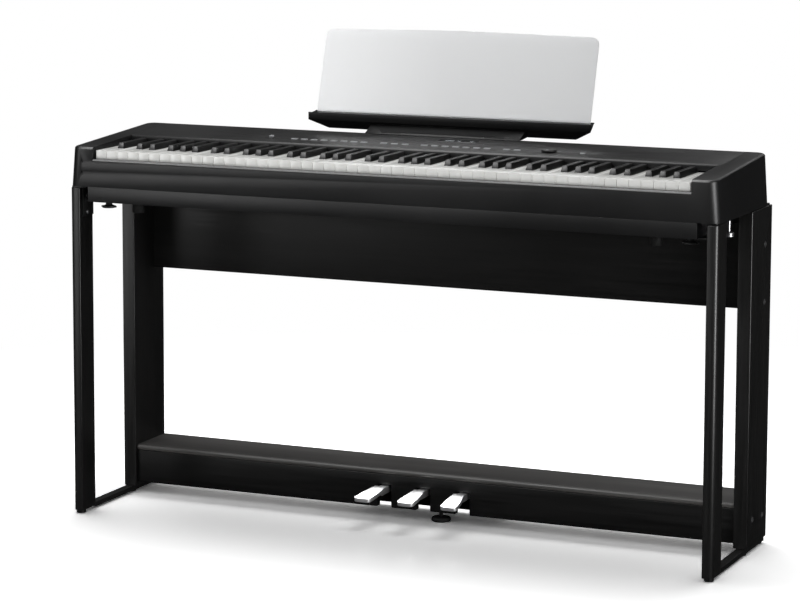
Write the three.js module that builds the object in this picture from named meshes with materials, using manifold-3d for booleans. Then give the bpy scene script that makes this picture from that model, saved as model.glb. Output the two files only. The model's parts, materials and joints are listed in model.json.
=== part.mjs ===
// Digital piano on a wooden stand. Millimetres, +Z up, +X to the player's right, +Y away from the player.
// The origin is on the floor, in the middle of the object's width and depth.
import * as THREE from 'three';
import { mergeVertices } from 'three/addons/utils/BufferGeometryUtils.js';
import { ConvexGeometry } from 'three/addons/geometries/ConvexGeometry.js';
import Module from 'manifold-3d';

const wasm = await Module();
wasm.setup();

// ---------------------------------------------------------------- driving dimensions
const fit = 0.3; // clearance between neighbouring pieces

const keyPitch = 23.5; // centre to centre of the white keys
const whiteKeys = 52;
const keyFront = 7.5; // from the case front to the white key fronts
const keyTop = 733; // white playing surface above the floor

const caseWidth = 1335;
const caseDepth = 320;
const caseBottom = 661; // underside of the end blocks
const caseTopFront = 739;
const caseTopBack = 758;
const sideDraft = 6; // each side leans in by this much over the case's height
const caseCorner = 18; // upright corners seen from above
const caseEdge = 5; // rounding along the top edges
const wall = 3; // moulded walls

const keyOpeningHalf = (whiteKeys * keyPitch) / 2 + 4;
const panelHalf = 621;
const panelFront = 162; // front edge of the control panel
const rearStripFront = 300; // where the control panel meets the rear cover
const trayHalf = 626;
const trayBottom = 631;

const restLean = THREE.MathUtils.degToRad(16.4);
const restPanelWidth = 587;
const restPanelLength = 181.6;
const restPanelThickness = 3;
const restPanelFoot = { y: 353.7, z: 787 };
const backmost = 406.4; // top edge of the leaning music rest panel

const legOuter = 667;
const legWidth = 21.7;
const legDepth = 53.5;
const legBottom = 7;
const standTop = 657;
const sideOuter = 667.5;
const sideThickness = 27.5;
const sideFront = 212;
const sideBack = 339;
const sideBottom = 14;

const boxTop = 101; // pedal box, top face above the floor
const boxBottom = 22;
const boxFront = 217.4;
const boardThickness = 15;

const pedalPitch = 84;
const pedalAxis = { y: 300, z: 60 };
const pedalTip = 124;
const pedalSweep = 8; // the outer pedals' tips stand out by this much

const topAt = (y) => caseTopFront + ((caseTopBack - caseTopFront) * y) / caseDepth;

// ---------------------------------------------------------------- materials
const finish = (color, roughness, metalness = 0) =>
  new THREE.MeshStandardMaterial({ color, roughness, metalness });
const finishes = {
  caseBlack: () => finish(0x161617, 0.45),
  panelBlack: () => finish(0x1b1b1c, 0.4),
  laminate: () => finish(0x141414, 0.42),
  pedalBoard: () => finish(0x1c1a19, 0.55),
  whiteKey: () => finish(0xf4f4f2, 0.25),
  blackKey: () => finish(0x121212, 0.4),
  steel: () => finish(0x9a9c9e, 0.35, 1),
  darkSteel: () => finish(0x202122, 0.5, 0.6),
  chrome: () => finish(0xd9dadb, 0.15, 1),
  frosted: () => finish(0xdfe0e0, 0.5),
  rubber: () => finish(0x101010, 0.8),
  board: () => finish(0x1d4a2c, 0.6),
  button: () => finish(0x6d6f72, 0.4),
  glossBlack: () => finish(0x08090a, 0.1),
};

// ---------------------------------------------------------------- solids
// A closed three.js geometry as a solid that can be joined and cut.
function solidOf(geometry) {
  const bare = geometry.clone();
  for (const name of Object.keys(bare.attributes)) if (name !== 'position') bare.deleteAttribute(name);
  const merged = mergeVertices(bare, 1e-4);
  return new wasm.Manifold(
    new wasm.Mesh({
      numProp: 3,
      vertProperties: new Float32Array(merged.attributes.position.array),
      triVerts: new Uint32Array(merged.index.array),
    }),
  );
}

function geometryOf(solid) {
  const { vertProperties, triVerts } = solid.getMesh();
  const geometry = new THREE.BufferGeometry();
  geometry.setAttribute('position', new THREE.BufferAttribute(new Float32Array(vertProperties), 3));
  geometry.setIndex(new THREE.BufferAttribute(new Uint32Array(triVerts), 1));
  geometry.computeVertexNormals();
  return geometry;
}

const joined = (solids) => solids.reduce((whole, solid) => whole.add(solid));
const cut = (solid, tools) => tools.reduce((rest, tool) => rest.subtract(tool), solid);

// A box between two corners, given as [low, high] along each axis in either order.
function block(xs, ys, zs) {
  const size = [xs, ys, zs].map(([a, b]) => Math.abs(b - a));
  const centre = [xs, ys, zs].map(([a, b]) => (a + b) / 2);
  return solidOf(new THREE.BoxGeometry(...size).translate(...centre));
}

// An outline in the Y-Z plane carried along X.
function alongX(outline, xs) {
  const low = Math.min(...xs);
  const shape = new THREE.Shape(outline.map(([y, z]) => new THREE.Vector2(y, z)));
  const depth = Math.abs(xs[1] - xs[0]);
  const geometry = new THREE.ExtrudeGeometry(shape, { depth, bevelEnabled: false });
  const turn = new THREE.Matrix4().set(0, 0, 1, low, 1, 0, 0, 0, 0, 1, 0, 0, 0, 0, 0, 1);
  return solidOf(geometry.applyMatrix4(turn));
}

// An outline in the X-Y plane raised between two heights.
function alongZ(shape, zs) {
  const low = Math.min(...zs);
  const depth = Math.abs(zs[1] - zs[0]);
  const geometry = new THREE.ExtrudeGeometry(shape, { depth, bevelEnabled: false, curveSegments: 6 });
  return solidOf(geometry.translate(0, 0, low));
}

const hull = (corners) => solidOf(new ConvexGeometry(corners.map((corner) => new THREE.Vector3(...corner))));

// A turned piece standing along Z: profile points are [radius, height], from the axis back to the axis.
function turned(profile, at, sides = 20) {
  const points = profile.map(([r, z]) => new THREE.Vector2(r, z));
  const geometry = new THREE.LatheGeometry(points, sides).rotateX(Math.PI / 2).translate(...at);
  return solidOf(geometry);
}

// A round rod or hole between two heights, along X, Y or Z.
function rod(axis, radius, span, [u, v], sides = 16) {
  const length = Math.abs(span[1] - span[0]);
  const middle = (span[0] + span[1]) / 2;
  const geometry = new THREE.CylinderGeometry(radius, radius, length, sides);
  if (axis === 'x') geometry.rotateZ(Math.PI / 2).translate(middle, u, v);
  if (axis === 'y') geometry.translate(u, middle, v);
  if (axis === 'z') geometry.rotateX(Math.PI / 2).translate(u, v, middle);
  return solidOf(geometry);
}

// Arc points from one angle to another, in degrees, in whichever plane the caller works in.
function arc([u, v], radius, from, to, steps = 4) {
  return Array.from({ length: steps + 1 }, (_, i) => {
    const angle = THREE.MathUtils.degToRad(from + ((to - from) * i) / steps);
    return [u + radius * Math.cos(angle), v + radius * Math.sin(angle)];
  });
}

// A plan outline with its own rounding at each corner.
function roundedPlan(corners) {
  const path = new THREE.Shape();
  const count = corners.length;
  corners.forEach(([x, y, r], i) => {
    const before = corners[(i + count - 1) % count];
    const after = corners[(i + 1) % count];
    const towards = ([a, b]) => {
      const length = Math.hypot(a - x, b - y);
      return [x + ((a - x) * r) / length, y + ((b - y) * r) / length];
    };
    const enter = towards(before);
    const leave = towards(after);
    if (i === 0) path.moveTo(...enter);
    else path.lineTo(...enter);
    if (r > 0) path.quadraticCurveTo(x, y, ...leave);
  });
  path.closePath();
  return path;
}

// ---------------------------------------------------------------- the object
const middleY = backmost / 2;
const model = new THREE.Group();
model.position.y = -middleY;

// Adds a named piece to the model; the solid is drawn about the point `at`.
function piece(name, solid, material, at = [0, 0, 0], group = model) {
  const mesh = new THREE.Mesh(geometryOf(solid), material);
  mesh.name = name;
  mesh.position.set(...at);
  group.add(mesh);
  return mesh;
}

// ---------------------------------------------------------------- case
// The whole outside of the case as one solid, from which its pieces are cut.
function caseBlank() {
  const steps = 5;
  const ring = (inset, lean, height) => {
    const half = caseWidth / 2 - inset - lean;
    const radius = caseCorner - inset / 2;
    const [front, back] = [inset, caseDepth - inset];
    const corners = [
      ...arc([half - radius, front + radius], radius, -90, 0, steps),
      ...arc([half - radius, back - radius], radius, 0, 90, steps),
      ...arc([radius - half, back - radius], radius, 90, 180, steps),
      ...arc([radius - half, front + radius], radius, 180, 270, steps),
    ];
    return corners.map(([x, y]) => [x, y, height(y)]);
  };
  const rings = [ring(0, 0, () => caseBottom)];
  for (let i = 0; i <= 4; i += 1) {
    const angle = (Math.PI / 8) * i;
    const inset = caseEdge * (1 - Math.cos(angle));
    rings.push(ring(inset, sideDraft, (y) => topAt(y) - caseEdge * (1 - Math.sin(angle))));
  }
  const around = rings[0].length;
  const faces = [];
  for (let level = 0; level + 1 < rings.length; level += 1) {
    for (let i = 0; i < around; i += 1) {
      const a = level * around + i;
      const b = level * around + ((i + 1) % around);
      faces.push(a, b, b + around, a, b + around, a + around);
    }
  }
  const top = (rings.length - 1) * around;
  for (let i = 1; i + 1 < around; i += 1) {
    faces.push(0, i + 1, i);
    faces.push(top, top + i, top + i + 1);
  }
  const geometry = new THREE.BufferGeometry();
  geometry.setAttribute('position', new THREE.BufferAttribute(new Float32Array(rings.flat(2)), 3));
  geometry.setIndex(faces);
  return solidOf(geometry);
}

const blank = caseBlank();
const tall = [caseBottom - 10, caseTopBack + 10]; // past the case below and above
const jackX = -638.2;
const jackHeights = { large: 688, small: 710.2 };

// The end blocks are hollow mouldings, open towards the middle under the control panel.
for (const side of [-1, 1]) {
  const wide = [side * keyOpeningHalf, side * caseWidth];
  const keySide = block(wide, [-5, panelFront - fit], tall);
  const outward = [side * (panelHalf + fit), side * caseWidth];
  const panelSide = block(outward, [panelFront - fit - 1, caseDepth + 5], tall);
  const hollow = block(
    [side * (keyOpeningHalf + wall), side * 656],
    [wall + 1, caseDepth - wall - 1],
    [caseBottom + wall, caseTopFront - wall - 2],
  );
  const mouth = block(
    [side * 600, side * 640],
    [panelFront + wall, caseDepth - wall - 1],
    [caseBottom + wall, caseTopFront - 10],
  );
  let shell = cut(blank.intersect(keySide.add(panelSide)), [hollow, mouth]);
  if (side < 0) shell = shell.subtract(block([jackX - 7, jackX + 7], [-1, 6], [678, 720]));
  piece(side < 0 ? 'left_end_block' : 'right_end_block', shell, finishes.caseBlack());
}

// Two headphone sockets on one small block, flush in the left end block's front.
{
  const body = block([-6.7, 6.7], [0, 26], [-20.7, 20.7]);
  const mid = 699;
  const holes = [
    rod('y', 3.5, [-1, 20], [0, jackHeights.large - mid]),
    rod('y', 2.0, [-1, 16], [0, jackHeights.small - mid]),
  ];
  piece('headphone_jack_block', cut(body, holes), finishes.panelBlack(), [jackX, 0.2, mid]);
}

// The front rail closes the case below the key fronts; its top edge is rounded.
{
  const railTop = 716.5;
  const outline = [[0, caseBottom], [6, caseBottom], [6, railTop], ...arc([5, railTop - 5], 5, 90, 180)];
  const half = keyOpeningHalf - fit;
  piece('front_rail', alongX(outline, [-half, half]), finishes.caseBlack());
}

// The rear cover is the back wall and the strip of top behind the control panel.
const restSlots = [-110, 110];
const plugPlate = { x: [-170, -30], z: [676, 706] };
{
  const half = panelHalf;
  const strip = block([-half, half], [rearStripFront, caseDepth + 5], [caseBottom + fit, caseTopBack + 10]);
  const inner = block(
    [-half + wall, half - wall],
    [rearStripFront - 5, caseDepth - wall],
    [caseBottom - 5, caseTopBack - 8],
  );
  const through = [caseTopBack - 15, caseTopBack + 5];
  const slots = restSlots.map((x) => block([x - 21, x + 21], [307, 315], through));
  const window = block(plugPlate.x, [caseDepth - 10, caseDepth + 5], plugPlate.z);
  piece('rear_cover', cut(blank.intersect(strip), [inner, ...slots, window]), finishes.caseBlack());
}

// Sockets at the back: power, two line outputs and a data socket.
{
  const width = plugPlate.x[1] - plugPlate.x[0] - 2 * fit;
  const height = plugPlate.z[1] - plugPlate.z[0] - 2 * fit;
  const at = [(plugPlate.x[0] + plugPlate.x[1]) / 2, caseDepth - 18, (plugPlate.z[0] + plugPlate.z[1]) / 2];
  const body = block([-width / 2, width / 2], [0, 17.5], [-height / 2, height / 2]);
  const holes = [
    rod('y', 3.5, [4, 20], [-55, 0]),
    rod('y', 3.5, [4, 20], [-25, 0]),
    rod('y', 3.5, [4, 20], [3, 0]),
    block([30, 42], [4, 20], [-5, 6]),
  ];
  piece('rear_socket_block', cut(body, holes), finishes.panelBlack(), at);
}

// The lower case is a shallow tray with two cross ribs and a slotted grille under each speaker.
const speakerSpots = [-480, 480];
const speakerY = 276;
const handScrewSpot = { x: 602, y: 42 };
{
  const floorTop = trayBottom + wall;
  const outer = block([-trayHalf, trayHalf], [0.4, caseDepth - 0.6], [trayBottom, caseBottom - fit]);
  const depths = [[0.4 + wall, 98], [102, 232], [236, caseDepth - wall - 0.6]];
  const inside = [-trayHalf + wall, trayHalf - wall];
  const hollows = depths.map((ys) => block(inside, ys, [floorTop, caseBottom + 5]));
  const through = [trayBottom - 5, floorTop + 5];
  const slots = speakerSpots.flatMap((x) =>
    [-24, -12, 0, 12, 24].map((dy) => {
      const y = speakerY + dy;
      return block([x - 40, x + 40], [y - 2.5, y + 2.5], through);
    }),
  );
  const holes = [-1, 1].map((side) => rod('z', 3.6, through, [side * handScrewSpot.x, handScrewSpot.y]));
  piece('lower_case', cut(outer, [...hollows, ...slots, ...holes]), finishes.caseBlack());
}

// Speakers face down over the grilles.
for (const [index, x] of speakerSpots.entries()) {
  const profile = [[0, 4], [10, 4], [30, 0], [37, 0], [37, 3], [31, 3], [22, 14], [22, 26], [0, 26]];
  const name = index === 0 ? 'left_speaker' : 'right_speaker';
  piece(name, turned(profile, [0, 0, 0], 24), finishes.darkSteel(), [x, speakerY, trayBottom + wall + 0.6]);
}

// The key frame: a steel sheet with a front stop rail and a rear hinge rail.
{
  const half = keyOpeningHalf - 4;
  const sheet = block([-half, half], [12, 234], [663, 666]);
  const stopRail = block([-half, half], [16, 34], [665, 699]);
  const hingeRail = block([-half, half], [198, 230], [665, 703.5]);
  piece('key_frame', joined([sheet, stopRail, hingeRail]), finishes.steel());
}

// ---------------------------------------------------------------- control panel
const rowY = 206; // the line of buttons
const buttonSize = { x: 13, y: 6.6 };
const buttonGroups = {
  left_buttons: Array.from({ length: 8 }, (_, i) => -273.5 + 21.5 * i),
  middle_buttons: Array.from({ length: 3 }, (_, i) => -81 + 23.1 * i),
  right_buttons: Array.from({ length: 7 }, (_, i) => 5.5 + 21.95 * i),
  pair_buttons: [177, 199],
};
const slider = { x: -324, travel: 12, y: rowY };
const dial = { x: 264, radius: 15 };
const power = { x: 332.4, radius: 5.5 };
const screen = { x: [8, 90], y: [262, 285] };
const panelSkin = 3;

{
  const lipBottom = keyTop + 2.6;
  const lipRadius = 4;
  const front = panelFront;
  const lipTop = topAt(front + lipRadius);
  const outline = [
    [front, lipBottom],
    [front + 3, lipBottom],
    [front + 3, lipTop - panelSkin - 1],
    [front + 6, topAt(front + 6) - panelSkin],
    [rearStripFront - fit, topAt(rearStripFront) - panelSkin],
    [rearStripFront - fit, topAt(rearStripFront - fit)],
    ...arc([front + lipRadius, lipTop - lipRadius], lipRadius, 90, 180),
  ];
  const skin = alongX(outline, [-panelHalf, panelHalf]);
  const deep = [caseTopFront - 5, caseTopBack + 5];
  const margin = 0.4;
  const holes = Object.values(buttonGroups).flatMap((xs) =>
    xs.map((x) =>
      block(
        [x - buttonSize.x / 2 - margin, x + buttonSize.x / 2 + margin],
        [rowY - buttonSize.y / 2 - margin, rowY + buttonSize.y / 2 + margin],
        deep,
      ),
    ),
  );
  const others = [
    block([slider.x - slider.travel - 3, slider.x + slider.travel + 3], [rowY - 1.6, rowY + 1.6], deep),
    rod('z', 5, deep, [dial.x, rowY]),
    rod('z', power.radius + margin, deep, [power.x, rowY], 20),
    block(screen.x, screen.y, [topAt(screen.y[0]) - 1.6, caseTopBack + 5]),
  ];
  piece('control_panel', cut(skin, [...holes, ...others]), finishes.panelBlack());
}

// The display window lies flush in its recess.
{
  const y = (screen.y[0] + screen.y[1]) / 2;
  const half = [(screen.x[1] - screen.x[0]) / 2 - fit, (screen.y[1] - screen.y[0]) / 2 - fit];
  const pane = block([-half[0], half[0]], [-half[1], half[1]], [-1.0, 0.2]);
  piece('display_window', pane, finishes.glossBlack(), [(screen.x[0] + screen.x[1]) / 2, y, topAt(y)]);
}

// Each group of buttons is one moulding: caps on a thin strip that joins them under the panel.
const buttonProud = 1.6;
for (const [name, xs] of Object.entries(buttonGroups)) {
  const start = xs[0];
  const level = topAt(rowY);
  const caps = xs.map((x) =>
    block(
      [x - start - buttonSize.x / 2, x - start + buttonSize.x / 2],
      [-buttonSize.y / 2, buttonSize.y / 2],
      [-8, buttonProud],
    ),
  );
  const strip = block([-buttonSize.x / 2, xs.at(-1) - start + buttonSize.x / 2], [-4, 4], [-9, -6.5]);
  piece(name, joined([...caps, strip]), finishes.button(), [start, rowY, level]);
}

{
  const cap = block([-4, 4], [-3.6, 3.6], [0.8, 5.5]);
  const stem = block([-2, 2], [-1, 1], [-8, 1]);
  piece('volume_slider', cap.add(stem), finishes.button(), [slider.x, rowY, topAt(rowY)]);
}
{
  const r = dial.radius;
  const profile = [[0, -9], [4.4, -9], [4.4, 1.3], [r, 1.3], [r, 4.4], [r - 1.2, 5.6], [0, 5.6]];
  piece('data_dial', turned(profile, [0, 0, 0], 28), finishes.panelBlack(), [dial.x, rowY, topAt(rowY)]);
}
{
  const r = power.radius;
  const profile = [[0, -8], [r, -8], [r, 1.2], [r - 0.6, 1.8], [0, 1.8]];
  piece('power_button', turned(profile, [0, 0, 0], 20), finishes.button(), [power.x, rowY, topAt(rowY)]);
}

// The main circuit board stands on posts off the key frame side of the tray.
{
  const board = block([-140, 140], [238, 300], [0, 1.6]);
  const postSpots = [[-130, 243], [130, 243], [-130, 295], [130, 295]];
  const posts = postSpots.map(([x, y]) => rod('z', 3, [-40, 0.5], [x, y], 10));
  const chips = [[-60, 262, 22], [0, 270, 30], [70, 262, 18]].map(([x, y, size]) =>
    block([x - size / 2, x + size / 2], [y - size / 2, y + size / 2], [1, 4.5]),
  );
  piece('main_circuit_board', joined([board, ...posts, ...chips]), finishes.board(), [0, 0, 675]);
}

// ---------------------------------------------------------------- keys
// One octave from C: white keys take the whole steps, black keys sit over the gaps with their own offsets.
const blackWidth = 13.7;
const blackOffsets = { 0: -2.3, 1: 2.3, 3: -3.4, 4: 0, 5: 3.4 }; // by the white key to the left, C is 0
const blackHalfSlot = blackWidth / 2 + 1;
const whiteWidth = keyPitch - 0.9;
const headLength = 50; // full-width part of a white key
const whiteLength = 207.5;
const keyHeight = 20;
const footHeight = 8;
const blackRise = 11;
const blackLength = 100;
const blackTail = 170;
const firstStep = 5; // the lowest key is an A
const whiteX = (index) => (index + 0.5 - whiteKeys / 2) * keyPitch;
const stepOf = (index) => (index + firstStep) % 7;
const hasBlackAfter = (index) => index >= 0 && index < whiteKeys - 1 && stepOf(index) in blackOffsets;

function whiteKey(index) {
  const half = keyPitch / 2;
  const edge = whiteWidth / 2;
  const right = hasBlackAfter(index) ? half + blackOffsets[stepOf(index)] - blackHalfSlot : edge;
  const left = hasBlackAfter(index - 1) ? -half + blackOffsets[stepOf(index - 1)] + blackHalfSlot : -edge;
  const plan = [[-edge, 0], [edge, 0], [edge, headLength]];
  if (right < edge) plan.push([right, headLength]);
  plan.push([right, whiteLength], [left, whiteLength]);
  if (left > -edge) plan.push([left, headLength]);
  plan.push([-edge, headLength]);
  const shape = new THREE.Shape(plan.map(([x, y]) => new THREE.Vector2(x, y)));
  const footHeights = [-keyHeight - footHeight, -keyHeight + 0.5];
  const foot = block([left, right], [whiteLength - 15, whiteLength - 1], footHeights);
  return alongZ(shape, [-keyHeight, 0]).add(foot);
}

function blackKey() {
  const low = -keyHeight + 1.8;
  const half = blackWidth / 2;
  const corners = [-1, 1].flatMap((side) => [
    [side * half, 0, low],
    [side * half, 0.6, 0],
    [side * (half - 1.9), 4.5, blackRise],
    [side * (half - 1.9), blackLength - 1, blackRise],
    [side * half, blackLength, 0],
    [side * half, blackLength, low],
  ]);
  const tail = block([-5.5, 5.5], [blackLength - 10, blackTail], [low, -5]);
  const foot = block([-5.5, 5.5], [blackTail - 10, blackTail], [-keyHeight - footHeight, low + 0.5]);
  return joined([hull(corners), tail, foot]);
}

const whitePlace = (index) => [whiteX(index), keyFront, keyTop];
const blackX = (index) => whiteX(index) + keyPitch / 2 + blackOffsets[stepOf(index)];
const blackPlace = (index) => [blackX(index), keyFront + headLength + 0.5, keyTop];

// The middle octave has a separate piece for every key.
const middleC = 23;
['c', 'd', 'e', 'f', 'g', 'a', 'b'].forEach((note, step) => {
  const index = middleC + step;
  piece(`white_key_${note}4`, whiteKey(index), finishes.whiteKey(), whitePlace(index));
  if (hasBlackAfter(index)) {
    piece(`black_key_${note}_sharp4`, blackKey(), finishes.blackKey(), blackPlace(index));
  }
});

// The other keys are combs: the keys of one stretch on a common rail at their rear ends.
const stretches = {
  bass: [0, 8],
  tenor: [9, 22],
  treble: [30, 43],
  top: [44, 51],
};
for (const [name, [first, last]] of Object.entries(stretches)) {
  const start = whiteX(first);
  const whites = [];
  const blacks = [];
  for (let index = first; index <= last; index += 1) {
    whites.push(whiteKey(index).translate([whiteX(index) - start, 0, 0]));
    if (hasBlackAfter(index)) blacks.push(index);
  }
  const rail = block(
    [-whiteWidth / 2 + 1, whiteX(last) - start + whiteWidth / 2 - 1],
    [whiteLength - 15, whiteLength - 1],
    [-keyHeight - footHeight, -keyHeight - 1],
  );
  piece(`${name}_white_keys`, joined([...whites, rail]), finishes.whiteKey(), whitePlace(first));
  const blackStart = blackX(blacks[0]);
  const blackRail = block(
    [-5.5, blackX(blacks.at(-1)) - blackStart + 5.5],
    [blackTail - 10, blackTail],
    [-keyHeight - footHeight, -8],
  );
  const blackSolids = blacks.map((index) => blackKey().translate([blackX(index) - blackStart, 0, 0]));
  const blackComb = joined([...blackSolids, blackRail]);
  piece(`${name}_black_keys`, blackComb, finishes.blackKey(), blackPlace(blacks[0]));
}

// ---------------------------------------------------------------- music rest
const ledge = { half: 302.5, front: 331, back: 362, frontTop: 789, backTop: 794.5, frontBottom: 778 };
const keel = { half: 265, y: [350, 358], z: 760.6 }; // flat underside at the back of the ledge
{
  const wedge = hull(
    [-1, 1].flatMap((side) => [
      [side * ledge.half, ledge.front, ledge.frontTop],
      [side * ledge.half, ledge.front, ledge.frontBottom],
      [side * (ledge.half - 3), ledge.back, ledge.backTop],
      [side * keel.half, keel.y[0], keel.z],
      [side * keel.half, keel.y[1], keel.z],
    ]),
  );
  const neck = hull(
    [-165, 165].flatMap((x) => [
      [x, 303, caseTopBack + fit],
      [x, 319, caseTopBack + fit],
      [x, 340, 776],
      [x, 356, 776],
      [x, 356, keel.z + 1],
    ]),
  );
  // The lip's rear face leans away from the ledge, so nothing overhangs a book's lower edge.
  const lipOutline = [
    [ledge.front, 787],
    [ledge.front + 3, 787],
    [ledge.front + 1.4, 793],
    [ledge.front, 793],
  ];
  const lip = alongX(lipOutline, [-ledge.half, ledge.half]);
  const pegHeights = [caseTopBack - 14, caseTopBack + 4];
  const pegs = restSlots.map((x) => block([x - 20.6, x + 20.6], [307.4, 314.6], pegHeights));
  const seat = block([-ledge.half - 5, ledge.half + 5], [-2, 2], [-0.4, 40])
    .rotate([THREE.MathUtils.radToDeg(-restLean), 0, 0])
    .translate([0, restPanelFoot.y, restPanelFoot.z]);
  piece('music_rest_holder', cut(joined([wedge, neck, lip, ...pegs]), [seat]), finishes.panelBlack());
}
{
  const half = restPanelWidth / 2;
  const bow = 4; // the top edge rises this much in the middle
  const outline = new THREE.Shape();
  outline.moveTo(-half, 0);
  outline.lineTo(half, 0);
  outline.lineTo(half, restPanelLength - bow - 18);
  outline.quadraticCurveTo(half, restPanelLength - bow, half - 18, restPanelLength - bow);
  outline.quadraticCurveTo(0, restPanelLength + bow, -half + 18, restPanelLength - bow);
  outline.quadraticCurveTo(-half, restPanelLength - bow, -half, restPanelLength - bow - 18);
  outline.closePath();
  const across = { depth: restPanelThickness, bevelEnabled: false, curveSegments: 8 };
  const sheet = new THREE.ExtrudeGeometry(outline, across);
  sheet.rotateX(Math.PI / 2).translate(0, restPanelThickness / 2, 0);
  const panel = piece('music_rest_panel', solidOf(sheet), finishes.frosted());
  panel.position.set(0, restPanelFoot.y, restPanelFoot.z);
  panel.rotation.x = -restLean;
}

// ---------------------------------------------------------------- stand
for (const side of [-1, 1]) {
  const label = side < 0 ? 'left' : 'right';
  const at = (x) => side * x;

  // Side panel behind, with softly rounded upright edges.
  const panelPlan = roundedPlan(
    [
      [-sideThickness / 2, 0, side < 0 ? 3 : 2],
      [sideThickness / 2, 0, side < 0 ? 2 : 3],
      [sideThickness / 2, sideBack - sideFront, 2],
      [-sideThickness / 2, sideBack - sideFront, 2],
    ],
  );
  const panelAt = [at(sideOuter - sideThickness / 2), sideFront, sideBottom];
  piece(`${label}_side_panel`, alongZ(panelPlan, [0, standTop - sideBottom]), finishes.laminate(), panelAt);

  // Front leg: a flat post whose outer front edge is well rounded, on a round glide.
  const soft = side < 0 ? [12, 3] : [3, 12];
  const legPlan = roundedPlan([
    [-legWidth / 2, 0, soft[0]],
    [legWidth / 2, 0, soft[1]],
    [legWidth / 2, legDepth, 3],
    [-legWidth / 2, legDepth, 3],
  ]);
  const post = alongZ(legPlan, [0, standTop - legBottom]);
  const glideProfile = [[0, -legBottom], [8.5, -legBottom], [9.5, -legBottom + 1.5], [9.5, 1], [0, 1]];
  const glide = turned(glideProfile, [0, 13, 0], 20);
  const legAt = [at(legOuter - legWidth / 2), 0.5, legBottom];
  piece(`${label}_front_leg`, post.add(glide), finishes.laminate(), legAt);

  // Runner along the floor from the leg to the back of the side panel, with two small feet.
  const bar = block([-9, 9], [legDepth + 0.5 + fit, sideBack - 2], [4, sideBottom - fit]);
  const footProfile = [[0, 0], [7.5, 0], [8, 1], [8, 5], [0, 5]];
  const feet = [223, sideBack - 14].map((y) => turned(footProfile, [0, y, 0], 16));
  piece(`${label}_runner`, joined([bar, ...feet]), finishes.laminate(), [at(655), 0, 0]);

  // Steel bracket: a plate over the leg and side panel, turned down beside the leg and in under the case.
  const legInner = legOuter - legWidth;
  const plate = block([at(633), at(664)], [5, sideBack - 6], [standTop + fit, caseBottom - fit]);
  const flange = block([at(legInner - 3.5), at(legInner - 0.5)], [10, 50], [standTop - 57, standTop + 1]);
  const shelf = block([at(588), at(legInner - 1)], [26, 60], [trayBottom - 3.6, trayBottom - fit]);
  const shelfHole = rod('z', 3.6, [trayBottom - 10, trayBottom + 5], [at(handScrewSpot.x), handScrewSpot.y]);
  piece(`${label}_bracket`, joined([plate, flange, shelf]).subtract(shelfHole), finishes.darkSteel());

  // Hand screw holding the case down on the bracket.
  const knob = [[0, 0], [12.5, 0], [13.5, 1], [13.5, 3.5], [7, 6], [6, 11]];
  const screwProfile = [...knob, [3.2, 11], [3.2, 28], [0, 28]];
  const screw = turned(screwProfile, [0, 0, 0]);
  const wings = block([-15.5, 15.5], [-3, 3], [0.8, 3.8]);
  const screwAt = [at(handScrewSpot.x), handScrewSpot.y, trayBottom - 15];
  piece(`${label}_hand_screw`, screw.add(wings), finishes.rubber(), screwAt);
}

const boardHalf = sideOuter - sideThickness - fit;
const backPanelBottom = 460;
piece(
  'back_panel',
  block([-boardHalf, boardHalf], [0, boardThickness], [0, trayBottom - 0.6 - backPanelBottom]),
  finishes.laminate(),
  [0, 295, backPanelBottom],
);

// ---------------------------------------------------------------- pedal box
const topBoard = 12;
const notch = { half: 15, top: 68 };
const pedalXs = [-pedalPitch, 0, pedalPitch];
{
  const r = topBoard / 2;
  const depth = sideBack - boxFront;
  const outline = [[depth, -topBoard], [depth, 0], ...arc([r, -r], r, 90, 270, 8)];
  const board = alongX(outline, [-boardHalf, boardHalf]);
  piece('pedal_box_top', board, finishes.pedalBoard(), [0, boxFront, boxTop]);
}
{
  const front = boxFront + 2.5;
  const high = boxTop - topBoard - fit;
  const board = block([-boardHalf, boardHalf], [0, boardThickness], [boxBottom, high]);
  const notches = pedalXs.map((x) =>
    block([x - notch.half, x + notch.half], [-5, 30], [boxBottom - 5, notch.top]),
  );
  piece('pedal_box_front', cut(board, notches), finishes.laminate(), [0, front, 0]);
}

// Steel pedal frame under the top board: cheeks either side of each pedal carry one long pin,
// and a pan closes the frame behind and below the pedals.
const adjuster = { x: 29, y: 244 };
{
  const high = boxTop - topBoard - fit;
  const sheet = block([-130, 130], [240, 332], [high - 3, high]);
  const rear = block([-150, 150], [330, 332], [boxBottom, high - 1]);
  const pan = block([-150, 150], [266, 332], [boxBottom, boxBottom + 2]);
  const cheeks = [-124, -42, 42, 124].map((x) => block([x - 2, x + 2], [286, 314], [42, high - 1]));
  const pin = rod('x', 4, [-125, 125], [pedalAxis.y, pedalAxis.z], 16);
  const socket = block([adjuster.x - 8, adjuster.x + 8], [adjuster.y - 7, adjuster.y + 8], [30, high - 1]);
  const thread = rod('z', 4.5, [20, 62], [adjuster.x, adjuster.y]);
  piece('pedal_frame', joined([sheet, rear, pan, ...cheeks, pin, socket]).subtract(thread), finishes.darkSteel());
}

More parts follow.
